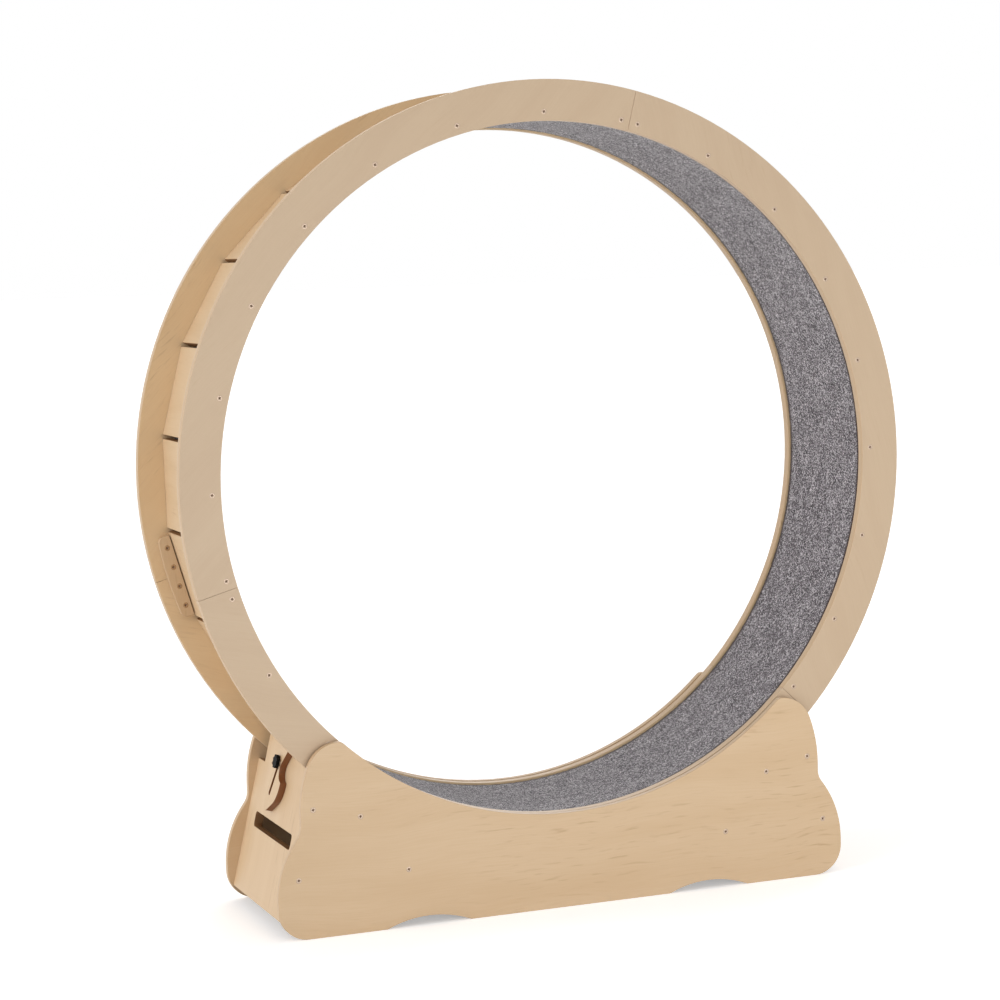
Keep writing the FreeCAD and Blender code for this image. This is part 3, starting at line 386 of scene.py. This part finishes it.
def slat_plywood(wood):
    """Birch plywood of the slats: the grain runs from ring to ring, on all 24 turned boards."""
    material, tree, shader = new_material("Birch plywood, slats", Roughness=0.5)
    source = tree.nodes.new("ShaderNodeTexCoord")
    turn = Matrix((ACROSS, (0, 0, 1), (1, 0, 0))).to_euler()
    place = add(tree, "ShaderNodeMapping", {"Vector": source.outputs["Object"],
                                            "Rotation": turn})
    faces, fibres = birch_faces(tree, place, wood, "face")
    spoke = add(tree, "ShaderNodeVectorMath", {0: source.outputs["Object"],
                                               1: WHEEL_CENTRE}, operation="SUBTRACT")
    spoke = add(tree, "ShaderNodeVectorMath", {0: spoke, 1: (1, 0, 1)}, operation="MULTIPLY")
    reach = add(tree, "ShaderNodeVectorMath", {0: spoke}, out="Value", operation="LENGTH")
    spoke = add(tree, "ShaderNodeVectorMath", {0: spoke}, operation="NORMALIZE")
    facing = add(tree, "ShaderNodeVectorMath", {0: spoke, 1: source.outputs["Normal"]},
                 out="Value", operation="DOT_PRODUCT")
    # painted shade: the slats' cut edges take the dark shade colour, so a dark line shows where a slat
    # meets a ring
    edges = ply_edges(tree, maths(tree, "SUBTRACT", reach, SLAT_REACH), SLAT_PLY, 9,
                      wood.browned, wood.browned)
    facing = between(tree, maths(tree, "ABSOLUTE", facing), 0.75, 0.95)
    tree.links.new(blend_colours(tree, facing, edges, faces), shader.inputs["Base Color"])
    bump = add(tree, "ShaderNodeBump", {"Height": fibres, "Strength": 0.15, "Distance": 0.0002})
    tree.links.new(bump, shader.inputs["Normal"])
    return material


# ---------------------------------------------------------------- other finishes

def loop_pile(carpet, width):
    """Polypropylene loop pile, tufted of mixed grey fibres: soft, matt and speckled."""
    material, tree, shader = new_material("Polypropylene loop pile, tufted", Roughness=0.95,
                                          Specular_IOR_Level=0.1, Sheen_Weight=0.5,
                                          Sheen_Roughness=0.35)
    metres = add(tree, "ShaderNodeTexCoord", out="UV")
    # a loop is 1.3 mm along the runner and 1.5 mm across it
    loops = add(tree, "ShaderNodeMapping", {"Vector": metres, "Scale": (780, 660, 1)})
    tufts = tree.nodes.new("ShaderNodeTexVoronoi")
    tree.links.new(loops, tufts.inputs["Vector"])
    tufts.inputs["Scale"].default_value = 1.0
    chance = add(tree, "ShaderNodeSeparateXYZ", {0: tufts.outputs["Color"]}, out="X")
    fine = add(tree, "ShaderNodeTexNoise", {"Vector": metres, "Scale": 1300.0, "Detail": 2.0})
    mottle = add(tree, "ShaderNodeMapping", {"Vector": metres, "Scale": (30, 60, 1)})
    mottle = add(tree, "ShaderNodeTexNoise", {"Vector": mottle, "Scale": 1.0, "Detail": 2.0})
    mix = maths(tree, "MULTIPLY", chance, 0.7)
    mix = maths(tree, "ADD", mix, maths(tree, "MULTIPLY", fine, 0.5))
    mix = maths(tree, "ADD", mix, maths(tree, "MULTIPLY", mottle, 0.3))
    tone = blend_colours(tree, between(tree, mix, 0.38, 0.80), carpet.dark, carpet.middle)
    tone = blend_colours(tree, between(tree, mix, 0.78, 1.05), tone, carpet.light)
    # painted shade: a dark band begins 6 to 10 mm inside the cut sides, by the chance of each loop, for the
    # shade in the groove beside the rings
    over = add(tree, "ShaderNodeSeparateXYZ", {0: metres}, out="Y")
    aside = maths(tree, "ABSOLUTE", maths(tree, "SUBTRACT", over, width / 2))
    aside = maths(tree, "ADD", aside, maths(tree, "MULTIPLY", chance, 0.004))
    side = between(tree, aside, width / 2 - 0.0060, width / 2 - 0.0025)
    tone = blend_colours(tree, side, tone, carpet.backing)
    tree.links.new(tone, shader.inputs["Base Color"])
    height = maths(tree, "SUBTRACT", fine, tufts.outputs["Distance"])
    bump = add(tree, "ShaderNodeBump", {"Height": height, "Strength": 0.8, "Distance": 0.001})
    tree.links.new(bump, shader.inputs["Normal"])
    return material


def plated(name, tint, roughness, scale):
    """Zinc-plated or ground steel: a metal whose roughness is uneven in small patches."""
    material, tree, shader = new_material(name, Metallic=1.0, Base_Color=tint)
    place = add(tree, "ShaderNodeTexCoord", out="Object")
    patches = add(tree, "ShaderNodeTexNoise", {"Vector": place, "Scale": scale, "Detail": 3.0})
    uneven = between(tree, patches, 0.3, 0.7, roughness - 0.08, roughness + 0.08)
    tree.links.new(uneven, shader.inputs["Roughness"])
    return material


def moulded(name, tint, roughness, grain, gloss=0.5):
    """Injection-moulded plastic: even colour and a fine eroded grain from the mould."""
    material, tree, shader = new_material(name, Base_Color=tint, Roughness=roughness, IOR=1.5,
                                          Specular_IOR_Level=gloss)
    place = add(tree, "ShaderNodeTexCoord", out="Object")
    texture = add(tree, "ShaderNodeTexNoise", {"Vector": place, "Scale": 2500.0, "Detail": 1.0})
    bump = add(tree, "ShaderNodeBump", {"Height": texture, "Strength": grain,
                                        "Distance": 0.0001})
    tree.links.new(bump, shader.inputs["Normal"])
    return material


# ---------------------------------------------------------------- operators

class CATWHEEL_OT_rings(bpy.types.Operator):
    """Finish the two rings, three sections each, and the joint plates behind their seams"""
    bl_idname = "catwheel.rings"
    bl_label = "Rings"

    def execute(self, context):
        wood = context.scene.catwheel_wood
        # the front ring gets the shaded copy of the veneer (painted shade) and the rear ring the lit copy
        # (painted light)
        for side, veneer in (("front", "ring_face"), ("rear", "rear_face")):
            for section, middle in SECTION_MIDDLES.items():
                node = "%s_ring_section_%d" % (side, section)
                angle = math.radians(middle + 90)
                chord = Vector((math.cos(angle), 0, math.sin(angle)))
                material = plywood("Birch plywood, %s ring %d" % (side, section), node, chord,
                                   ACROSS, 9, wood, veneer)
                soften(node, wood.seam_round)
                dress(node, material)
            node = side + "_joint_plates"
            soften(node, wood.edge_round)
            dress(node, plywood("Birch plywood, %s joint plates" % side, node,
                                Vector((0, 0, 1)), ACROSS, 7, wood))
        return {"FINISHED"}


class CATWHEEL_OT_slats(bpy.types.Operator):
    """Finish the 24 slats between the rings"""
    bl_idname = "catwheel.slats"
    bl_label = "Slats"

    def execute(self, context):
        wood = context.scene.catwheel_wood
        material = slat_plywood(wood)
        for node in nodes_like("slat_"):
            soften(node, wood.slat_round)
            dress(node, material)
        return {"FINISHED"}


class CATWHEEL_OT_carpet(bpy.types.Operator):
    """Make the carpet runner with its uneven pile"""
    bl_idname = "catwheel.carpet"
    bl_label = "Carpet runner"

    def execute(self, context):
        """A closed strip is carried round the wheel.

        Pile side: radius = pile tip + relief * chance from 0 to 1, and near a cut side the pile
        falls away on a quarter circle. Back: a plain cylinder. The strip runs over the pile from front to
        rear and returns over the back.
        """
        carpet = context.scene.catwheel_carpet
        points = corners_of("carpet_runner") - np.array(WHEEL_CENTRE)
        reach = np.hypot(points[:, 0], points[:, 2])
        tip, back, half = reach.min(), reach.max(), points[:, 1].max()
        rows = round(2 * math.pi * tip / carpet.tuft)
        columns = round(2 * half / carpet.tuft)
        angle = np.arange(rows) * 2 * np.pi / rows
        y = np.linspace(-half, half, columns)
        chance = np.random.default_rng(7).random((rows, columns))
        over = np.clip((np.abs(y) - half) / carpet.edge_round + 1, 0, 1)
        fall = carpet.edge_round * (1 - np.sqrt(1 - over ** 2))
        pile = tip + carpet.relief * chance + np.minimum(fall, back - tip - 0.0012)
        y_back = np.linspace(half, -half, 9)
        radius = np.concatenate([pile, np.full((rows, len(y_back)), back)], axis=1)
        level = np.concatenate([y, y_back])
        grid = np.stack([radius * np.cos(angle)[:, None], np.broadcast_to(level, radius.shape),
                         radius * np.sin(angle)[:, None]], axis=-1) + np.array(WHEEL_CENTRE)
        along = np.arange(rows + 1) * 2 * np.pi / rows * (tip + back) / 2
        width = np.append(level, level[0]) + half
        mesh = surface("carpet_runner_pile", grid[None], True, True, (along, width))
        pile = finish_piece(mesh, "carpet_runner_pile", "wheel", loop_pile(carpet, 2 * half),
                            ["carpet_runner"])
        weld(mesh)
        return {"FINISHED"}


class CATWHEEL_OT_screws(bpy.types.Operator):
    """Make the heads of the countersunk screws, each with a cross recess"""
    bl_idname = "catwheel.screws"
    bl_label = "Countersunk screws"

    def heads(self, node, corners, metal):
        """Profile turned about each screw's axis, with a cross pressed into its flat.

        The profile runs from the middle of the flat over the rim and down the cone. Inside the
        cross, where the distance from an arm's middle is under the arm's half width, the height
        falls by the recess's depth times the root of what is left to the arm's end.
        """
        points = corners_of(node).reshape(-1, corners, 3)
        low, high = points.min(axis=1), points.max(axis=1)
        centre = (low + high) / 2
        flat = np.median(points[:, :, 1], axis=1)
        outward = np.sign(flat - centre[:, 1])
        edge, arm = metal.head_radius, metal.recess_reach
        rim, cone, arm_half, recess_depth = 0.0003, 0.0022, 0.0006, 0.0016
        # the flat stands a little proud of the wood, so that the two never share a surface
        proud = 0.0001
        # radians from one head's cross to the next one's, as screws end up when driven
        next_turn = 2.4
        reach = np.array([0, 0.25 * arm, 0.6 * arm, 0.9 * arm, 1.1 * arm, edge - rim, edge,
                          0.45 * edge, 0])
        height = np.array([0, 0, 0, 0, 0, 0, -rim, -cone, -cone]) + proud
        theta = np.arange(metal.spokes) * 2 * np.pi / metal.spokes
        fold = np.mod(theta + np.pi / 4, np.pi / 2) - np.pi / 4
        aside = np.abs(np.sin(fold))[:, None] * reach
        pressed = np.clip((arm_half - aside) / (arm_half / 2) + 0.5, 0, 1)
        pressed[:, 5:] = 0
        depth = recess_depth * np.sqrt(np.clip(1 - reach / (1.05 * arm), 0, 1))
        turned = theta[None] + (np.arange(len(centre)) * next_turn)[:, None]
        first = reach * np.cos(turned)[..., None]
        second = reach * np.sin(turned)[..., None]
        lift = height - pressed * depth
        sign = outward[:, None, None]
        grid = np.stack([centre[:, None, None, 0] + first * sign,
                         flat[:, None, None] + sign * lift[None],
                         centre[:, None, None, 2] - second], axis=-1)
        sunk = pressed * depth
        beside = np.roll(sunk, -1, axis=0)
        recessed = (sunk[:, :-1] + sunk[:, 1:] + beside[:, :-1] + beside[:, 1:]) > 0.0012
        return grid, np.tile(recessed.ravel(), len(centre)).astype(np.int32)

    def execute(self, context):
        metal = context.scene.catwheel_metal
        white = plated("Zinc-plated steel, countersunk screws", metal.zinc, 0.5, 900)
        # painted shade: the darker, browner copy of the zinc for the joint plates' screws
        zinc_in_shade = plated("Shade-tinted zinc-plated steel, countersunk screws", metal.shade_tinted_zinc, 0.5,
                        900)
        # the recess lies in shade, so a matt finish without metal stands for its plating
        shaded = moulded("Zinc-plated steel, shaded driver recess", metal.recess, 0.6, 0.1, 0.2)
        for node, body, material in (("ring_screws", "wheel", white),
                                     ("joint_plate_screws", "wheel", zinc_in_shade),
                                     ("base_screws", "base", white)):
            count = len(corners_of(node))
            heads, recessed = self.heads(node, self.corners_of_head(node, count), metal)
            mesh = surface(node + "_heads", heads, True, False)
            piece = finish_piece(mesh, node + "_heads", body, material, [node])
            piece.data.materials.append(shaded)
            mesh.polygons.foreach_set("material_index", recessed)
            weld(mesh)
        return {"FINISHED"}

    def corners_of_head(self, node, count):
        """Vertices of one head in the CAD node, whose heads all have as many."""
        widths = {"ring_screws": 54, "joint_plate_screws": 24, "base_screws": 16}
        if count % widths[node]:
            raise RuntimeError(node + ": its heads differ")
        return count // widths[node]


class CATWHEEL_OT_base(bpy.types.Operator):
    """Finish the side plates, end panels and roller boards"""
    bl_idname = "catwheel.base"
    bl_label = "Base"

    def execute(self, context):
        wood = context.scene.catwheel_wood
        lean = Vector((math.cos(BOARD_LEAN), 0, -math.sin(BOARD_LEAN)))
        mirror = Vector((-1, 1, 1))
        # painted shade: the dark edge colour of the roller boards
        inner = wood.inner_figure
        boards = (("front_side_plate", Vector((1, 0, 0)), ACROSS, 7, "face", None),
                  ("rear_side_plate", Vector((1, 0, 0)), ACROSS, 7, "face", None),
                  # painted shade: the end panels' edges, the walls of the handle slots among them, take the
                  # dark shade colour
                  ("left_end_panel", PANEL_UP, PANEL_OUT, 9, "face", wood.browned),
                  ("right_end_panel", PANEL_UP * mirror, PANEL_OUT * mirror, 9, "face",
                   wood.browned),
                  # painted shade: the roller boards, seen through the handle slots, are dark for the shade
                  # inside the base
                  ("left_roller_board", ACROSS, lean * mirror, 9, "inner_face", inner),
                  ("right_roller_board", ACROSS, lean, 9, "inner_face", inner))
        for node, along, through, plies, veneer, edge in boards:
            soften(node, wood.edge_round)
            dress(node, plywood("Birch plywood, " + node.replace("_", " "), node, along,
                                through, plies, wood, veneer, edge))
        return {"FINISHED"}


class CATWHEEL_OT_rollers(bpy.types.Operator):
    """Finish the rollers with their bearings, pins, brackets and screws"""
    bl_idname = "catwheel.rollers"
    bl_label = "Rollers"

    def execute(self, context):
        metal = context.scene.catwheel_metal
        nylon = moulded("Nylon, injection-moulded rollers", metal.nylon, 0.42, 0.1)
        zinc = plated("Galvanised steel, pressed brackets", metal.zinc, 0.42, 60)
        steel = plated("Bearing steel, ground", metal.steel, 0.22, 400)
        for node in nodes_like("roller_"):
            if node.startswith("roller_bearing") or node == "roller_pins":
                soften(node, 0.0003)
                dress(node, steel)
            elif node.startswith("roller_bracket"):
                soften(node, 0.0004)
                dress(node, zinc)
            else:
                soften(node, 0.0006)
                dress(node, nylon)
        soften("bracket_screws", 0.0003)
        dress("bracket_screws", zinc)
        return {"FINISHED"}


class CATWHEEL_OT_lock(bpy.types.Operator):
    """Finish the wheel lock: lever, knob, washer and insert"""
    bl_idname = "catwheel.lock"
    bl_label = "Wheel lock"

    def execute(self, context):
        wood, metal = context.scene.catwheel_wood, context.scene.catwheel_metal
        soften("lock_lever", 0.0004)
        dress("lock_lever", plywood("Birch plywood, lever with dark edges", "lock_lever", LEVER_UP,
                                    PANEL_OUT, 7, wood, edge=wood.dark_lever_edge))
        soften("lock_knob", 0.0008, 3)
        dress("lock_knob", moulded("Polypropylene, moulded knob", metal.knob, 0.6, 0.3, 0.1))
        zinc = plated("Zinc-plated steel, lock fittings", metal.zinc, 0.3, 500)
        for node, slot in (("lock_washer", "bright_steel"), ("lock_insert", "zinc_insert")):
            soften(node, 0.0002)
            dress(node, zinc)
        return {"FINISHED"}


class CATWHEEL_OT_stage(bpy.types.Operator):
    """Set up the camera, the soft light and the pale floor"""
    bl_idname = "catwheel.stage"
    bl_label = "Stage"

    def camera(self, scene, stage):
        """Camera at the height and distance that the photograph was taken from."""
        # fitted to the ring's edges in the photograph, in radians and metres
        azimuth, elevation, roll = 0.3684, -0.0958, -0.0295
        position = (-1.2696, -3.1980, 0.8548)
        forward = Vector((math.sin(azimuth) * math.cos(elevation),
                          math.cos(azimuth) * math.cos(elevation), math.sin(elevation)))
        level = Vector((math.cos(azimuth), -math.sin(azimuth), 0))
        up = level.cross(forward)
        right = math.cos(roll) * level + math.sin(roll) * up
        up = -math.sin(roll) * level + math.cos(roll) * up
        data = bpy.data.cameras.new("camera")
        data.lens = stage.lens
        data.sensor_width = 36
        data.sensor_fit = "HORIZONTAL"
        data.shift_x = -0.00099
        data.shift_y = 0.00041
        camera = bpy.data.objects.new("camera", data)
        camera.matrix_world = Matrix.Translation(position) @ \
            Matrix((right, up, -forward)).transposed().to_4x4()
        scene.collection.objects.link(camera)
        scene.camera = camera

    def lights(self, scene, stage):
        """Even sky, white where it is seen, soft suns from left and back, a low panel in front."""
        for name, strength, source in (("key", stage.sun, (-0.95, -0.15, 0.40)),
                                       ("back", stage.back, (0.60, 0.80, 0.55))):
            light = bpy.data.lights.new(name, "SUN")
            light.energy = strength
            light.angle = math.radians(50)
            lamp = bpy.data.objects.new(name, light)
            lamp.rotation_euler = Vector(source).to_track_quat("Z", "Y").to_euler()
            scene.collection.objects.link(lamp)
        panel = bpy.data.lights.new("low panel", "AREA")
        panel.energy = stage.fill
        panel.size = 1.2
        lamp = bpy.data.objects.new("low panel", panel)
        lamp.location = (0.2, -1.9, 0.15)
        lamp.rotation_euler = Vector((0, -1, 0)).to_track_quat("Z", "Y").to_euler()
        scene.collection.objects.link(lamp)
        world = bpy.data.worlds.new("studio")
        world.use_nodes = True
        scene.world = world
        tree = world.node_tree
        sky = tree.nodes["Background"]
        sky.inputs["Strength"].default_value = stage.sky
        sky.inputs["Color"].default_value = (1, 1, 1, 1)
        white = add(tree, "ShaderNodeBackground", {"Color": (1, 1, 1, 1), "Strength": 1.0})
        shown = add(tree, "ShaderNodeMixShader", {0: self.seen(tree), 1: sky.outputs[0],
                                                  2: white})
        tree.links.new(shown, tree.nodes["World Output"].inputs["Surface"])

    def seen(self, tree):
        """1 for rays from the camera and for those by way of metal or glass."""
        path = tree.nodes.new("ShaderNodeLightPath")
        total = maths(tree, "MAXIMUM", path.outputs["Is Camera Ray"],
                      path.outputs["Is Glossy Ray"])
        return maths(tree, "MAXIMUM", total, path.outputs["Is Transmission Ray"])

    def floor(self, stage):
        """Pale floor that keeps the object's shadow and fades into the white behind."""
        material, tree, shader = new_material("Painted studio floor, matt", Roughness=0.9,
                                              Base_Color=stage.floor, Specular_IOR_Level=0.1)
        glow = add(tree, "ShaderNodeEmission", {"Color": (1, 1, 1, 1), "Strength": stage.glow})
        lit = add(tree, "ShaderNodeAddShader", {0: shader.outputs[0], 1: glow})
        shown = add(tree, "ShaderNodeMixShader", {0: self.seen(tree), 1: shader.outputs[0],
                                                  2: lit})
        tree.links.new(shown, tree.nodes["Material Output"].inputs["Surface"])
        reach = 60.0
        corners = np.array([[[-reach, -reach, 0], [-reach, reach, 0]],
                            [[reach, -reach, 0], [reach, reach, 0]]])
        mesh = surface("floor", corners[None], False, False)
        floor = bpy.data.objects.new("floor", mesh)
        floor.data.materials.append(material)
        bpy.context.scene.collection.objects.link(floor)

    def execute(self, context):
        stage = context.scene.catwheel_stage
        self.camera(context.scene, stage)
        self.lights(context.scene, stage)
        self.floor(stage)
        context.scene.view_settings.view_transform = "Standard"
        return {"FINISHED"}


class CATWHEEL_PT_panel(bpy.types.Panel):
    """Sizes, colours and operators of the cat wheel"""
    bl_idname = "CATWHEEL_PT_panel"
    bl_label = "Cat exercise wheel"
    bl_space_type = "VIEW_3D"
    bl_region_type = "UI"
    bl_category = "Cat wheel"

    def draw(self, context):
        for group in GROUPS:
            box = self.layout.box()
            settings = getattr(context.scene, group)
            for name in settings.bl_rna.properties.keys():
                if name not in ("rna_type", "name"):
                    box.prop(settings, name)
        for operator in OPERATORS:
            self.layout.operator(operator.bl_idname)


GROUPS = {"catwheel_wood": CatWheelWood, "catwheel_carpet": CatWheelCarpet,
          "catwheel_metal": CatWheelMetal, "catwheel_stage": CatWheelStage}
OPERATORS = (CATWHEEL_OT_rings, CATWHEEL_OT_slats, CATWHEEL_OT_carpet, CATWHEEL_OT_screws,
             CATWHEEL_OT_base, CATWHEEL_OT_rollers, CATWHEEL_OT_lock, CATWHEEL_OT_stage)


def register():
    for item in (*GROUPS.values(), *OPERATORS, CATWHEEL_PT_panel):
        bpy.utils.register_class(item)
    for name, group in GROUPS.items():
        setattr(bpy.types.Scene, name, PointerProperty(type=group))


def unregister():
    for name in GROUPS:
        delattr(bpy.types.Scene, name)
    for item in (CATWHEEL_PT_panel, *reversed(OPERATORS), *reversed(list(GROUPS.values()))):
        bpy.utils.unregister_class(item)


def main():
    register()
    for operator in OPERATORS:
        name = operator.bl_idname.split(".")[1]
        getattr(bpy.ops.catwheel, name)()


if __name__ == "__main__":
    main()
